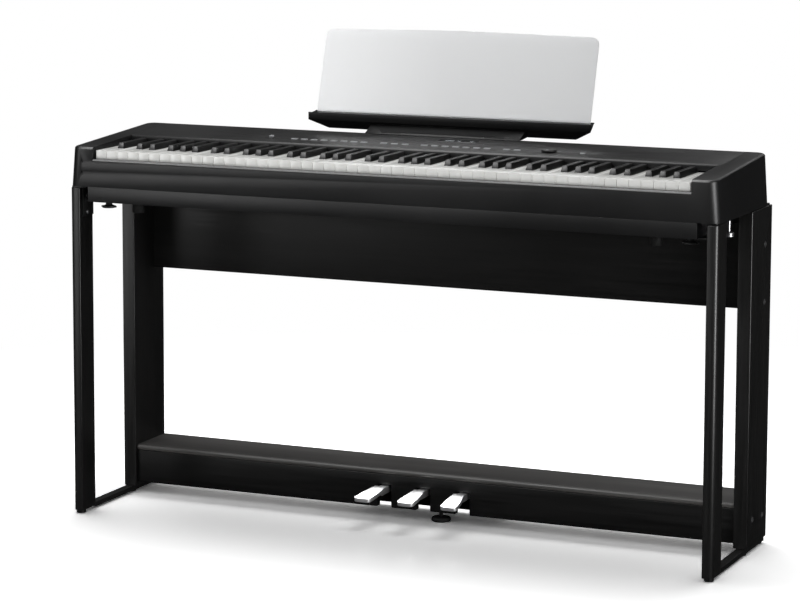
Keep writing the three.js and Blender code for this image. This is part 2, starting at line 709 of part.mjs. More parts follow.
// Each pedal is a paddle that widens to its tip, on an arm that swings on the pin.
// The two outer ones sweep outward.
function pedal(sweep) {
  const reach = pedalAxis.y - pedalTip;
  const rear = 97;
  const half = 17;
  const corner = 8;
  const blade = new THREE.Shape();
  blade.moveTo(12, -rear);
  blade.bezierCurveTo(12.5, -118, half, -128, half, -reach + corner);
  blade.absarc(half - corner, -reach + corner, corner, 0, -Math.PI / 2, true);
  blade.absarc(corner - half, -reach + corner, corner, -Math.PI / 2, -Math.PI, true);
  blade.bezierCurveTo(-half, -128, -12.5, -118, -12, -rear);
  const swept = blade.getPoints(6).map(({ x, y }) => {
    return new THREE.Vector2(x + (sweep * (-y - rear)) / (reach - rear), y);
  });
  const sloped = alongZ(new THREE.Shape(swept), [-4, 4]).rotate([6.5, 0, 0]).translate([0, 0, 15]);
  const arm = block([-9, 9], [-110, 8], [-8, 5]);
  const bore = rod('x', 4.5, [-30, 30], [0, 0], 16);
  return sloped.add(arm).subtract(bore);
}
['soft_pedal', 'sostenuto_pedal', 'damper_pedal'].forEach((name, i) => {
  piece(name, pedal(pedalSweep * (i - 1)), finishes.chrome(), [pedalXs[i], pedalAxis.y, pedalAxis.z]);
});

// Round adjuster foot that props the pedal box off the floor.
{
  const profile = [[0, 0], [18, 0], [19.5, 1.5], [19.5, 7], [17, 9], [4.1, 9], [4.1, 50], [0, 50]];
  piece('adjuster_foot', turned(profile, [0, 0, 0], 28), finishes.rubber(), [adjuster.x, adjuster.y, 0]);
}

export default model;
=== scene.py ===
import json
import math

import bmesh
import bpy
from mathutils import Matrix, Vector


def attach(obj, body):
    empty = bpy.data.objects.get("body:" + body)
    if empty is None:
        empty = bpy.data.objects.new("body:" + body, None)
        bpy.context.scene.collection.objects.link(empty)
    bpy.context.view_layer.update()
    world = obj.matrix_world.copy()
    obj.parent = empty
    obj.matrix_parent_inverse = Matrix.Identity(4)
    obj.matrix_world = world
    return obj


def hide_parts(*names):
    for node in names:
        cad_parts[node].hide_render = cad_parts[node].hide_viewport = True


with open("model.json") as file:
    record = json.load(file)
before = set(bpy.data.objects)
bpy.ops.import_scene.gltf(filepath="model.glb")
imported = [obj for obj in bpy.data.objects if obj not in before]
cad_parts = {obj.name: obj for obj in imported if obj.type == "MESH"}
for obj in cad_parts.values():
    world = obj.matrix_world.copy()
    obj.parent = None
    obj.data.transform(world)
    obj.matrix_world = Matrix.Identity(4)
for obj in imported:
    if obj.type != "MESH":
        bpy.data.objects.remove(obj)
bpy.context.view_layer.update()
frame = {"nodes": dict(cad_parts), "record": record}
nodes = frame["nodes"]
scene = bpy.context.scene

MM = 0.001
FIXED = "stand_and_case"  # the body that holds the stand and the case
PEDALS = ("soft_pedal", "sostenuto_pedal", "damper_pedal")

# ------------------------------------------------------------------ camera
# The object is seen from the right, from a little above the music rest.
CAMERA_PLACE = Vector((2.2243, -5.2173, 1.3776))
CAMERA_YAW = math.radians(23.501)
CAMERA_PITCH = math.radians(7.519)
CAMERA_ROLL = math.radians(0.188)
CAMERA_LENS = 132.2
CAMERA_SHIFT_Y = -0.125


def make_camera():
    data = bpy.data.cameras.new("camera")
    data.lens = CAMERA_LENS
    data.sensor_width = 36.0
    data.shift_y = CAMERA_SHIFT_Y
    data.clip_start, data.clip_end = 0.1, 100.0
    camera = bpy.data.objects.new("camera", data)
    scene.collection.objects.link(camera)
    level = math.cos(CAMERA_PITCH)
    ahead = Vector((-math.sin(CAMERA_YAW) * level, math.cos(CAMERA_YAW) * level, -math.sin(CAMERA_PITCH)))
    right = Vector((math.cos(CAMERA_YAW), math.sin(CAMERA_YAW), 0.0))
    up = right.cross(ahead)
    tilted_right = right * math.cos(CAMERA_ROLL) + up * math.sin(CAMERA_ROLL)
    tilted_up = up * math.cos(CAMERA_ROLL) - right * math.sin(CAMERA_ROLL)
    turn = Matrix((tilted_right, tilted_up, -ahead)).transposed().to_4x4()
    camera.matrix_world = Matrix.Translation(CAMERA_PLACE) @ turn
    scene.camera = camera


make_camera()


# ------------------------------------------------------------------ materials
def new_finish(name, color, roughness, metallic=0.0, specular=0.5):
    """A material with its plain values set; returns the node tree and the shader for more detail."""
    material = bpy.data.materials.new(name)
    material.use_nodes = True
    material.diffuse_color = (*color, 1.0)
    tree = material.node_tree
    shader = tree.nodes["Principled BSDF"]
    shader.inputs["Base Color"].default_value = (*color, 1.0)
    shader.inputs["Roughness"].default_value = roughness
    shader.inputs["Metallic"].default_value = metallic
    shader.inputs["Specular IOR Level"].default_value = specular
    return material, tree, shader


def place_pattern(tree, stretch=(1.0, 1.0, 1.0)):
    """Object coordinates, squeezed along chosen axes so that a pattern runs along the others."""
    coordinates = tree.nodes.new("ShaderNodeTexCoord")
    mapping = tree.nodes.new("ShaderNodeMapping")
    mapping.inputs["Scale"].default_value = stretch
    tree.links.new(coordinates.outputs["Object"], mapping.inputs["Vector"])
    return mapping.outputs["Vector"]


def add_noise(tree, vector, scale, detail=3.0, roughness=0.5):
    noise = tree.nodes.new("ShaderNodeTexNoise")
    noise.inputs["Scale"].default_value = scale
    noise.inputs["Detail"].default_value = detail
    noise.inputs["Roughness"].default_value = roughness
    tree.links.new(vector, noise.inputs["Vector"])
    return noise.outputs["Fac"]


def add_range(tree, value, low, high, start=0.3, end=0.7):
    """Maps a pattern's middle range onto the two values."""
    spread = tree.nodes.new("ShaderNodeMapRange")
    spread.inputs["From Min"].default_value = start
    spread.inputs["From Max"].default_value = end
    spread.inputs["To Min"].default_value = low
    spread.inputs["To Max"].default_value = high
    tree.links.new(value, spread.inputs["Value"])
    return spread.outputs["Result"]


def add_ramp(tree, value, stops):
    ramp = tree.nodes.new("ShaderNodeValToRGB")
    ramp.color_ramp.elements[0].position = stops[0][0]
    ramp.color_ramp.elements[0].color = (*stops[0][1], 1.0)
    ramp.color_ramp.elements[1].position = stops[-1][0]
    ramp.color_ramp.elements[1].color = (*stops[-1][1], 1.0)
    for position, color in stops[1:-1]:
        ramp.color_ramp.elements.new(position).color = (*color, 1.0)
    tree.links.new(value, ramp.inputs["Fac"])
    return ramp.outputs["Color"]


def add_bump(tree, shader, height, strength, depth, under=None):
    bump = tree.nodes.new("ShaderNodeBump")
    bump.inputs["Strength"].default_value = strength
    bump.inputs["Distance"].default_value = depth
    tree.links.new(height, bump.inputs["Height"])
    if under is not None:
        tree.links.new(under, bump.inputs["Normal"])
    tree.links.new(bump.outputs["Normal"], shader.inputs["Normal"])
    return bump.outputs["Normal"]


def moulded_plastic(name, color, roughness, specular, grain=1400.0, grain_depth=0.00006):
    """Moulded plastic: a fine spark-eroded grain, and a sheen that varies slowly with handling."""
    material, tree, shader = new_finish(name, color, roughness, specular=specular)
    place = place_pattern(tree)
    handling = add_noise(tree, place, 5.0, detail=4.0)
    sheen = add_range(tree, handling, roughness - 0.05, roughness + 0.06)
    tree.links.new(sheen, shader.inputs["Roughness"])
    lighter = tuple(channel * 1.25 for channel in color)
    tree.links.new(add_ramp(tree, handling, [(0.3, color), (0.75, lighter)]), shader.inputs["Base Color"])
    add_bump(tree, shader, add_noise(tree, place, grain, detail=2.0), 0.35, grain_depth)
    return material


def wood_laminate(name, dark, light, roughness, specular, along):
    """Printed laminate: long thin pores and a slow figure running along one axis."""
    material, tree, shader = new_finish(name, dark, roughness, specular=specular)
    pores_stretch = [220.0, 220.0, 220.0]
    figure_stretch = [14.0, 14.0, 14.0]
    pores_stretch[along] = 5.0
    figure_stretch[along] = 0.9
    pores = add_noise(tree, place_pattern(tree, pores_stretch), 1.0, detail=5.0, roughness=0.65)
    figure = add_noise(tree, place_pattern(tree, figure_stretch), 1.0, detail=3.0)
    blend = tree.nodes.new("ShaderNodeMath")
    blend.operation = "MULTIPLY_ADD"
    blend.inputs[1].default_value = 0.45
    tree.links.new(pores, blend.inputs[0])
    share = tree.nodes.new("ShaderNodeMath")
    share.operation = "MULTIPLY"
    share.inputs[1].default_value = 0.55
    tree.links.new(figure, share.inputs[0])
    tree.links.new(share.outputs["Value"], blend.inputs[2])
    grain = blend.outputs["Value"]
    tree.links.new(add_ramp(tree, grain, [(0.38, dark), (0.62, light)]), shader.inputs["Base Color"])
    tree.links.new(add_range(tree, pores, roughness - 0.06, roughness + 0.1), shader.inputs["Roughness"])
    add_bump(tree, shader, pores, 0.3, 0.00012)
    return material


def key_white():
    material, tree, shader = new_finish("key_white", (0.83, 0.83, 0.80), 0.22)
    shader.inputs["Coat Weight"].default_value = 0.25
    shader.inputs["Coat Roughness"].default_value = 0.12
    place = place_pattern(tree)
    cloud = add_noise(tree, place, 18.0, detail=3.0)
    tint = add_ramp(tree, cloud, [(0.3, (0.80, 0.80, 0.775)), (0.7, (0.86, 0.86, 0.84))])
    tree.links.new(tint, shader.inputs["Base Color"])
    tree.links.new(add_range(tree, cloud, 0.18, 0.28), shader.inputs["Roughness"])
    fine = add_noise(tree, place_pattern(tree, (900.0, 60.0, 900.0)), 1.0, detail=2.0)
    add_bump(tree, shader, fine, 0.12, 0.00004)
    return material


def key_black():
    material, tree, shader = new_finish("key_black", (0.004, 0.004, 0.004), 0.38, specular=0.3)
    streak = add_noise(tree, place_pattern(tree, (700.0, 25.0, 700.0)), 1.0, detail=4.0)
    tint = add_ramp(tree, streak, [(0.35, (0.0008, 0.0008, 0.0008)), (0.7, (0.0025, 0.0025, 0.0024))])
    tree.links.new(tint, shader.inputs["Base Color"])
    tree.links.new(add_range(tree, streak, 0.34, 0.46), shader.inputs["Roughness"])
    add_bump(tree, shader, streak, 0.2, 0.00005)
    return material


def pedal_plate():
    """Bright plating, finely brushed along the pedal and softened where feet rub it."""
    material, tree, shader = new_finish("pedal_plate", (0.90, 0.90, 0.905), 0.4, metallic=1.0)
    brush = add_noise(tree, place_pattern(tree, (2600.0, 40.0, 900.0)), 1.0, detail=2.0)
    worn = add_noise(tree, place_pattern(tree), 24.0, detail=3.0)
    tree.links.new(add_range(tree, worn, 0.36, 0.46), shader.inputs["Roughness"])
    tint = add_ramp(tree, worn, [(0.3, (0.88, 0.88, 0.885)), (0.7, (0.95, 0.95, 0.955))])
    tree.links.new(tint, shader.inputs["Base Color"])
    add_bump(tree, shader, brush, 0.08, 0.00003)
    return material


def painted_steel(name, color, roughness):
    material, tree, shader = new_finish(name, color, roughness, metallic=0.2)
    place = place_pattern(tree)
    peel = add_noise(tree, place, 420.0, detail=1.0)
    tree.links.new(add_range(tree, peel, roughness - 0.05, roughness + 0.08), shader.inputs["Roughness"])
    add_bump(tree, shader, peel, 0.2, 0.00006)
    return material


def bare_steel(name, color, roughness):
    material, tree, shader = new_finish(name, color, roughness, metallic=1.0)
    rolled = add_noise(tree, place_pattern(tree, (18.0, 900.0, 900.0)), 1.0, detail=3.0)
    tree.links.new(add_range(tree, rolled, roughness - 0.08, roughness + 0.1), shader.inputs["Roughness"])
    add_bump(tree, shader, rolled, 0.1, 0.00003)
    return material


def frosted_acrylic():
    """Sand-blasted sheet: it lets light through and shows nothing behind it; its tone is painted shade,
    lighter on the left and darker to the right.
    """
    material, tree, shader = new_finish("frosted_acrylic", (0.95, 0.955, 0.96), 0.55)
    shader.inputs["Transmission Weight"].default_value = 0.75
    shader.inputs["IOR"].default_value = 1.3
    place = place_pattern(tree)
    parts = tree.nodes.new("ShaderNodeSeparateXYZ")
    tree.links.new(place, parts.inputs["Vector"])
    across = add_range(tree, parts.outputs["X"], 0.0, 1.0, -0.3, 0.3)
    # Painted light: the tone falls from the lighter colour on the left to the darker one on the right,
    # painted shade across the sheet.
    clear, painted_shade_right = (0.86, 0.865, 0.87), (0.64, 0.645, 0.65)
    tint = add_ramp(tree, across, [(0.0, clear), (0.45, (0.69, 0.695, 0.70)), (1.0, painted_shade_right)])
    tree.links.new(tint, shader.inputs["Base Color"])
    frost = add_noise(tree, place, 2200.0, detail=2.0)
    drift = add_noise(tree, place, 4.0, detail=2.0)
    tree.links.new(add_range(tree, drift, 0.5, 0.62), shader.inputs["Roughness"])
    add_bump(tree, shader, frost, 0.25, 0.00004)
    return material


def display_pane():
    material, tree, shader = new_finish("display_pane", (0.006, 0.007, 0.008), 0.08)
    shader.inputs["Coat Weight"].default_value = 0.6
    smear = add_noise(tree, place_pattern(tree), 60.0, detail=3.0)
    tree.links.new(add_range(tree, smear, 0.06, 0.14), shader.inputs["Roughness"])
    return material


def soft_rubber():
    material, tree, shader = new_finish("soft_rubber", (0.006, 0.006, 0.006), 0.7, specular=0.2)
    dust = add_noise(tree, place_pattern(tree), 140.0, detail=4.0)
    tint = add_ramp(tree, dust, [(0.4, (0.004, 0.004, 0.004)), (0.8, (0.012, 0.012, 0.0115))])
    tree.links.new(tint, shader.inputs["Base Color"])
    add_bump(tree, shader, dust, 0.3, 0.0001)
    return material


def circuit_laminate():
    material, tree, shader = new_finish("circuit_laminate", (0.02, 0.13, 0.05), 0.4)
    cells = tree.nodes.new("ShaderNodeTexVoronoi")
    cells.feature = "DISTANCE_TO_EDGE"
    cells.inputs["Scale"].default_value = 160.0
    tree.links.new(place_pattern(tree), cells.inputs["Vector"])
    copper, mask = (0.05, 0.24, 0.10), (0.015, 0.10, 0.04)
    tracks = add_ramp(tree, cells.outputs["Distance"], [(0.03, copper), (0.09, mask)])
    tree.links.new(tracks, shader.inputs["Base Color"])
    return material


def paper_cone():
    material, tree, shader = new_finish("paper_cone", (0.025, 0.025, 0.026), 0.65)
    fibre = add_noise(tree, place_pattern(tree), 700.0, detail=4.0)
    add_bump(tree, shader, fibre, 0.4, 0.00012)
    return material


def lit_segment():
    material, tree, shader = new_finish("lit_segment", (0.55, 0.58, 0.60), 0.4)
    cells = add_noise(tree, place_pattern(tree), 900.0, detail=2.0)
    glow = add_ramp(tree, cells, [(0.3, (0.68, 0.76, 0.83)), (0.7, (0.80, 0.86, 0.92))])
    tree.links.new(glow, shader.inputs["Emission Color"])
    shader.inputs["Emission Strength"].default_value = 0.15
    return material


BLACK = (0.0040, 0.0040, 0.0044)
CASE = moulded_plastic("case_plastic", BLACK, 0.38, 0.4)
PANEL = moulded_plastic("panel_plastic", (0.0045, 0.0045, 0.0049), 0.42, 0.3)
BUTTON = moulded_plastic("button_plastic", (0.30, 0.31, 0.32), 0.4, 0.5, grain=2200.0)
# Painted shade: the music rest holder's plastic is darker than the case's, standing in for shade on its
# neck under the ledge.
SHADED_REST = moulded_plastic("rest_plastic_painted_shade", (0.0025, 0.0025, 0.0028), 0.4, 0.14)
SCREW = moulded_plastic("screw_plastic", (0.012, 0.012, 0.012), 0.45, 0.4, grain=900.0)
DARK_WOOD, LIGHT_WOOD = (0.0030, 0.0029, 0.0029), (0.0075, 0.0072, 0.0070)
UPRIGHT = wood_laminate("upright_laminate", DARK_WOOD, LIGHT_WOOD, 0.36, 0.4, along=2)
LEVEL = wood_laminate("level_laminate", DARK_WOOD, LIGHT_WOOD, 0.42, 0.3, along=0)
# Painted shade: the pedal box front's laminate is a darker copy of the stand's laminate, standing in for
# shade on the front face.
KICK_SHADED_DARK, KICK_SHADED_LIGHT = (0.0018, 0.0018, 0.0018), (0.0045, 0.0044, 0.0043)
SHADED_KICK_BOARD = wood_laminate("kick_board_painted_shade_laminate", KICK_SHADED_DARK, KICK_SHADED_LIGHT, 0.45, 0.2, along=0)
RUNNER = wood_laminate("runner_laminate", DARK_WOOD, LIGHT_WOOD, 0.42, 0.35, along=1)
# Painted light: the pedal box top's laminate is a much lighter copy of the stand's laminate, standing in
# for light falling on the top.
FOOT_PAINTED_LIT_DARK, FOOT_PAINTED_LIT_LIGHT = (0.036, 0.034, 0.032), (0.085, 0.080, 0.076)
PAINTED_LIT_FOOT_BOARD = wood_laminate("foot_board_painted_light_laminate", FOOT_PAINTED_LIT_DARK, FOOT_PAINTED_LIT_LIGHT, 0.5, 0.45, along=0)
WHITE = key_white()
EBONY = key_black()
PLATE = pedal_plate()
BRACKET = painted_steel("bracket_paint", (0.005, 0.005, 0.005), 0.42)
STEEL = bare_steel("bright_steel", (0.36, 0.36, 0.37), 0.36)
ACRYLIC = frosted_acrylic()
PANE = display_pane()
RUBBER = soft_rubber()
CIRCUIT = circuit_laminate()
CONE = paper_cone()
SEGMENT = lit_segment()


# ------------------------------------------------------------------ making pieces
def add_piece(name, mesh, material, body, replaced=()):
    """Puts a finished mesh in the scene on its body."""
    mesh.materials.clear()
    mesh.materials.append(material)
    piece = bpy.data.objects.new(name, mesh)
    scene.collection.objects.link(piece)
    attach(piece, body)
    if replaced:
        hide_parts(*replaced)
    return piece


def shade(mesh, angle=32.0):
    """Smooth across gentle curves, crisp at corners."""
    mesh.polygons.foreach_set("use_smooth", [True] * len(mesh.polygons))
    mesh.set_sharp_from_angle(angle=math.radians(angle))


def baked(piece):
    """The piece's mesh with its modifiers applied."""
    bpy.context.view_layer.update()
    finished = piece.evaluated_get(bpy.context.evaluated_depsgraph_get())
    return bpy.data.meshes.new_from_object(finished)


def bevelled(mesh, width, segments=3, angle=30.0):
    """Rounds every edge sharper than the angle, and returns a new mesh."""
    draft = bpy.data.objects.new("draft", mesh)
    scene.collection.objects.link(draft)
    rounding = draft.modifiers.new("rounding", "BEVEL")
    rounding.width = width
    rounding.segments = segments
    rounding.limit_method = "ANGLE"
    rounding.angle_limit = math.radians(angle)
    rounding.harden_normals = False
    result = baked(draft)
    bpy.data.objects.remove(draft)
    shade(result)
    return result


def clean_copy(node):
    """A CAD node's mesh with its corners merged and its flat faces made whole."""
    work = bmesh.new()
    work.from_mesh(nodes[node].data)
    bmesh.ops.remove_doubles(work, verts=work.verts, dist=0.000002)
    bmesh.ops.dissolve_limit(work, angle_limit=math.radians(1.0), verts=work.verts, edges=work.edges)
    mesh = bpy.data.meshes.new(node + "_clean")
    work.to_mesh(mesh)
    work.free()
    return mesh


BODY_OF = {node: body for body, group in frame["record"]["behaviour"]["bodies"].items() for node in group}


def soften(node, material, width=0.8 * MM, segments=3, angle=30.0):
    """Replaces a CAD node with the same shape whose edges are rounded as the real piece's are."""
    mesh = bevelled(clean_copy(node), width, segments, angle)
    return add_piece(node + "_made", mesh, material, BODY_OF[node], [node])


# ------------------------------------------------------------------ shapes
FRONT = -203.2  # the case's front face, in millimetres along Y; depths below are measured back from it


def point(x, depth, height):
    """Millimetres from the middle, back from the case's front, and up from the floor."""
    return Vector((x * MM, (depth + FRONT) * MM, height * MM))


def solid(name, corners, faces):
    """A mesh from corners in millimetres; faces may be listed either way round."""
    work = bmesh.new()
    verts = [work.verts.new(point(*corner)) for corner in corners]
    for face in faces:
        work.faces.new([verts[index] for index in face])
    bmesh.ops.recalc_face_normals(work, faces=work.faces)
    mesh = bpy.data.meshes.new(name)
    work.to_mesh(mesh)
    work.free()
    return mesh


def stacked(name, rings):
    """Joins rings with the same number of corners and closes both ends."""
    count = len(rings[0])
    faces = [tuple(range(count)), tuple(range((len(rings) - 1) * count, len(rings) * count))]
    for level in range(len(rings) - 1):
        for index in range(count):
            start = level * count
            after = (index + 1) % count
            faces.append((start + index, start + after, start + count + after, start + count + index))
    return solid(name, [corner for ring in rings for corner in ring], faces)


def box(name, xs, depths, heights):
    (left, right), (near, far) = xs, depths
    around = [(left, near), (right, near), (right, far), (left, far)]
    return stacked(name, [[(x, depth, height) for x, depth in around] for height in heights])


def prism(name, xs, outline):
    """An outline of (depth, height) corners carried from one X to the other."""
    return stacked(name, [[(x, depth, height) for depth, height in outline] for x in xs])


def turned(name, centre, profile, axis="z", sides=32):
    """Rings of (radius, along) about a centre, stacked along an axis."""
    rings = []
    for radius, along in profile:
        ring = []
        for step in range(sides):
            turn = 2 * math.pi * step / sides
            a, b = radius * math.cos(turn), radius * math.sin(turn)
            offset = {"x": (along, a, b), "y": (a, along, b), "z": (a, b, along)}[axis]
            ring.append(tuple(c + o for c, o in zip(centre, offset)))
        rings.append(ring)
    return stacked(name, rings)


def together(name, meshes):
    work = bmesh.new()
    for mesh in meshes:
        work.from_mesh(mesh)
    mesh = bpy.data.meshes.new(name)
    work.to_mesh(mesh)
    work.free()
    return mesh


def carved(mesh, cutters):
    """The mesh with the cutters taken away."""
    tools = bpy.data.objects.new("tools", together("tools", cutters))
    draft = bpy.data.objects.new("draft", mesh)
    scene.collection.objects.link(tools)
    scene.collection.objects.link(draft)
    cut = draft.modifiers.new("cut", "BOOLEAN")
    cut.operation = "DIFFERENCE"
    cut.solver = "EXACT"
    cut.use_self = True
    cut.object = tools
    result = baked(draft)
    bpy.data.objects.remove(draft)
    bpy.data.objects.remove(tools)
    return result


def repeat_tree(material):
    """Geometry nodes: the same cylinder on every point, made real."""
    tree = bpy.data.node_groups.new("repeat", "GeometryNodeTree")
    face = tree.interface
    face.new_socket("Points", in_out="INPUT", socket_type="NodeSocketGeometry")
    names = {}
    for label in ("Radius", "Height"):
        names[label] = face.new_socket(label, in_out="INPUT", socket_type="NodeSocketFloat").identifier
    names["Turn"] = face.new_socket("Turn", in_out="INPUT", socket_type="NodeSocketVector").identifier
    face.new_socket("Geometry", in_out="OUTPUT", socket_type="NodeSocketGeometry")
    given = tree.nodes.new("NodeGroupInput")
    result = tree.nodes.new("NodeGroupOutput")
    head = tree.nodes.new("GeometryNodeMeshCylinder")
    head.inputs["Vertices"].default_value = 24
    place = tree.nodes.new("GeometryNodeInstanceOnPoints")
    turn = tree.nodes.new("FunctionNodeEulerToRotation")
    real = tree.nodes.new("GeometryNodeRealizeInstances")
    paint = tree.nodes.new("GeometryNodeSetMaterial")
    paint.inputs["Material"].default_value = material
    link = tree.links.new
    link(given.outputs["Radius"], head.inputs["Radius"])
    link(given.outputs["Height"], head.inputs["Depth"])
    link(given.outputs["Turn"], turn.inputs["Euler"])
    link(given.outputs["Points"], place.inputs["Points"])
    link(head.outputs["Mesh"], place.inputs["Instance"])
    link(turn.outputs["Rotation"], place.inputs["Rotation"])
    link(place.outputs["Instances"], real.inputs["Geometry"])
    link(real.outputs["Geometry"], paint.inputs["Geometry"])
    link(paint.outputs["Geometry"], result.inputs["Geometry"])
    return tree, names


def repeated(name, spots, radius, height, axis, material, body, edge=0.5):
    """The same round head at every spot, its length along the axis; spots are the heads' middles."""
    points = bpy.data.meshes.new(name + "_spots")
    points.from_pydata([point(*spot) for spot in spots], [], [])
    draft = bpy.data.objects.new("draft", points)
    scene.collection.objects.link(draft)
    tree, names = repeat_tree(material)
    modifier = draft.modifiers.new("repeat", "NODES")
    modifier.node_group = tree
    modifier[names["Radius"]] = radius * MM
    modifier[names["Height"]] = height * MM
    quarter = math.pi / 2
    turns = {"x": (0.0, quarter, 0.0), "y": (quarter, 0.0, 0.0), "z": (0.0, 0.0, 0.0)}
    modifier[names["Turn"]] = turns[axis]
    mesh = baked(draft)
    bpy.data.objects.remove(draft)
    bpy.data.node_groups.remove(tree)
    return add_piece(name, bevelled(mesh, edge * MM, 3), material, body)


# ------------------------------------------------------------------ stand
SIDE_OUT = 667.5  # outer faces of the side panels
CAP_SPOTS = [(299, 586), (299, 475.5), (247, 65), (311, 61)]  # depth and height of the panel screws
CAP_RADIUS = 5.6


def make_side_panels():
    for side in (-1, 1):
        node = "left_side_panel" if side < 0 else "right_side_panel"
        well = [(CAP_RADIUS + 0.5, 0), (CAP_RADIUS + 0.5, side * 5)]
        pockets = [
            turned("pocket", (side * (SIDE_OUT - 1.6), depth, height), well, "x", 28)
            for depth, height in CAP_SPOTS
        ]
        mesh = bevelled(carved(clean_copy(node), pockets), 1.0 * MM)
        add_piece(node + "_made", mesh, UPRIGHT, FIXED, [node])
        spots = [(side * (SIDE_OUT - 1.0), depth, height) for depth, height in CAP_SPOTS]
        repeated(node + "_screw_caps", spots, CAP_RADIUS, 1.6, "x", STEEL, FIXED, 0.6)


def make_stand():
    make_side_panels()
    for side in ("left", "right"):
        soften(side + "_front_leg", UPRIGHT, 1.2 * MM)
        soften(side + "_runner", RUNNER, 1.0 * MM)
        soften(side + "_bracket", BRACKET, 0.5 * MM, 2)
        soften(side + "_hand_screw", SCREW, 0.8 * MM, 2)
    soften("back_panel", LEVEL, 1.0 * MM)
    soften("pedal_box_front", SHADED_KICK_BOARD, 1.0 * MM)
    soften("pedal_box_top", PAINTED_LIT_FOOT_BOARD, 1.0 * MM)
    soften("pedal_frame", BRACKET, 0.4 * MM, 2)
    soften("adjuster_foot", RUBBER, 0.6 * MM, 2)


def make_stand_screws():
    flange = 641.8  # inner faces of the flanges beside the front legs
    spots = [(side * (flange - 0.9), 25, height) for side in (-1, 1) for height in (607, 640)]
    repeated("leg_screws", spots, 4.2, 1.8, "x", STEEL, FIXED, 0.6)
    for side, name in ((-1, "left_thumb_screw"), (1, "right_thumb_screw")):
        profile = [(8.2, 622), (9.2, 623), (9.2, 629), (8.2, 630.5), (3.4, 631.5), (3.0, 632), (3.0, 657)]
        mesh = turned(name, (side * 650, 120, 0), profile)
        shade(mesh)
        add_piece(name, mesh, STEEL, FIXED)


# ------------------------------------------------------------------ case
CASE_HALF = 667.5
CASE_DEPTH = 320
CASE_BOTTOM = 661
TRAY_BOTTOM = 631  # the lower case's underside
FOOT_X, FOOT_HEIGHT = 536, 21.4  # rubber feet under the case
TOP_FRONT = 739
TOP_BACK = 758
SIDE_LEAN = 6
CORNER = 18
EDGE = 5
OPENING_HALF = 615  # the key opening
PANEL_HALF = 621
PANEL_FRONT = 162
RAIL_TOP = 716.5
RAIL_DEPTH = 6
JACK_X = -638.2
LARGE_JACK, SMALL_JACK = 688, 710.2  # heights of the headphone sockets


def top_at(depth):
    return TOP_FRONT + (TOP_BACK - TOP_FRONT) * depth / CASE_DEPTH


def case_ring(inset, lean, drop):
    """One level of the case seen from above: a rectangle with round corners."""
    half = CASE_HALF - inset - lean
    radius = CORNER - inset / 2
    ring = []
    for centre_x, centre_y, start in (
        (half - radius, inset + radius, -90),
        (half - radius, CASE_DEPTH - inset - radius, 0),
        (radius - half, CASE_DEPTH - inset - radius, 90),
        (radius - half, inset + radius, 180),
    ):
        for step in range(11):
            turn = math.radians(start + 9 * step)
            x, y = centre_x + radius * math.cos(turn), centre_y + radius * math.sin(turn)
            ring.append((x, y, CASE_BOTTOM if drop is None else top_at(y) - drop))
    return ring


def make_case_body():
    """The end blocks and the front rail read as one moulding with no seam between them."""
    rings = [case_ring(0, 0, None)]
    for step in range(9):
        turn = math.pi / 16 * step
        rings.append(case_ring(EDGE * (1 - math.cos(turn)), SIDE_LEAN, EDGE * (1 - math.sin(turn))))
    blank = stacked("case_body", rings)
    arc = [
        (RAIL_DEPTH - 1 - 5 * math.cos(turn), RAIL_TOP - 5 + 5 * math.sin(turn))
        for turn in [math.pi / 16 * step for step in range(9)]
    ]
    over_rail = [(-5, RAIL_TOP - 5), *arc, (RAIL_DEPTH + 2, RAIL_TOP), (RAIL_DEPTH + 2, 800), (-5, 800)]
    cutters = [
        prism("over_rail", (-OPENING_HALF, OPENING_HALF), over_rail),
        box("key_well", (-OPENING_HALF, OPENING_HALF), (RAIL_DEPTH, PANEL_FRONT + 1), (600, 800.5)),
        box("panel_bay", (-PANEL_HALF - 0.3, PANEL_HALF + 0.3), (PANEL_FRONT, 340), (599, 801)),
        turned("large_socket", (JACK_X, -1, LARGE_JACK), [(4.3, 0), (4.3, 4)], "y"),
        turned("small_socket", (JACK_X, -1, SMALL_JACK), [(2.7, 0), (2.7, 4)], "y"),
    ]
    mesh = bevelled(carved(blank, cutters), 0.9 * MM, 3, 35.0)
    replaced = ["left_end_block", "right_end_block", "front_rail"]
    add_piece("case_body", mesh, CASE, FIXED, replaced)


def tube(name, centre, outer, inner, depths):
    """A short pipe along the depth with a blind bottom."""
    near, far = depths
    bottom = inner * 0.2
    bore = [(bottom, far), (inner, far), (inner, near + 0.4), (inner + 0.4, near)]
    outside = [(outer, near), (outer, far + 1), (bottom, far + 1)]
    return turned(name, centre, bore + outside, "y")


def make_sockets():
    large = tube("large", (JACK_X, 0, LARGE_JACK), 4.2, 3.1, (0.7, 22))
    small = tube("small", (JACK_X, 0, SMALL_JACK), 2.6, 1.6, (0.7, 18))
    mesh = together("headphone_sockets", [large, small])
    shade(mesh)
    add_piece("headphone_sockets", mesh, PANEL, FIXED, ["headphone_jack_block"])


def make_case():
    make_case_body()
    make_sockets()
    for node in ("rear_cover", "lower_case"):
        soften(node, CASE, 0.8 * MM)
    soften("music_rest_holder", SHADED_REST, 0.5 * MM, 2)
    soften("rear_socket_block", PANEL, 0.5 * MM, 2)
    soften("key_frame", STEEL, 0.4 * MM, 2)
    soften("main_circuit_board", CIRCUIT, 0.2 * MM, 2)
    for side in ("left", "right"):
        soften(side + "_speaker", CONE, 0.4 * MM, 2)
    make_case_fasteners()


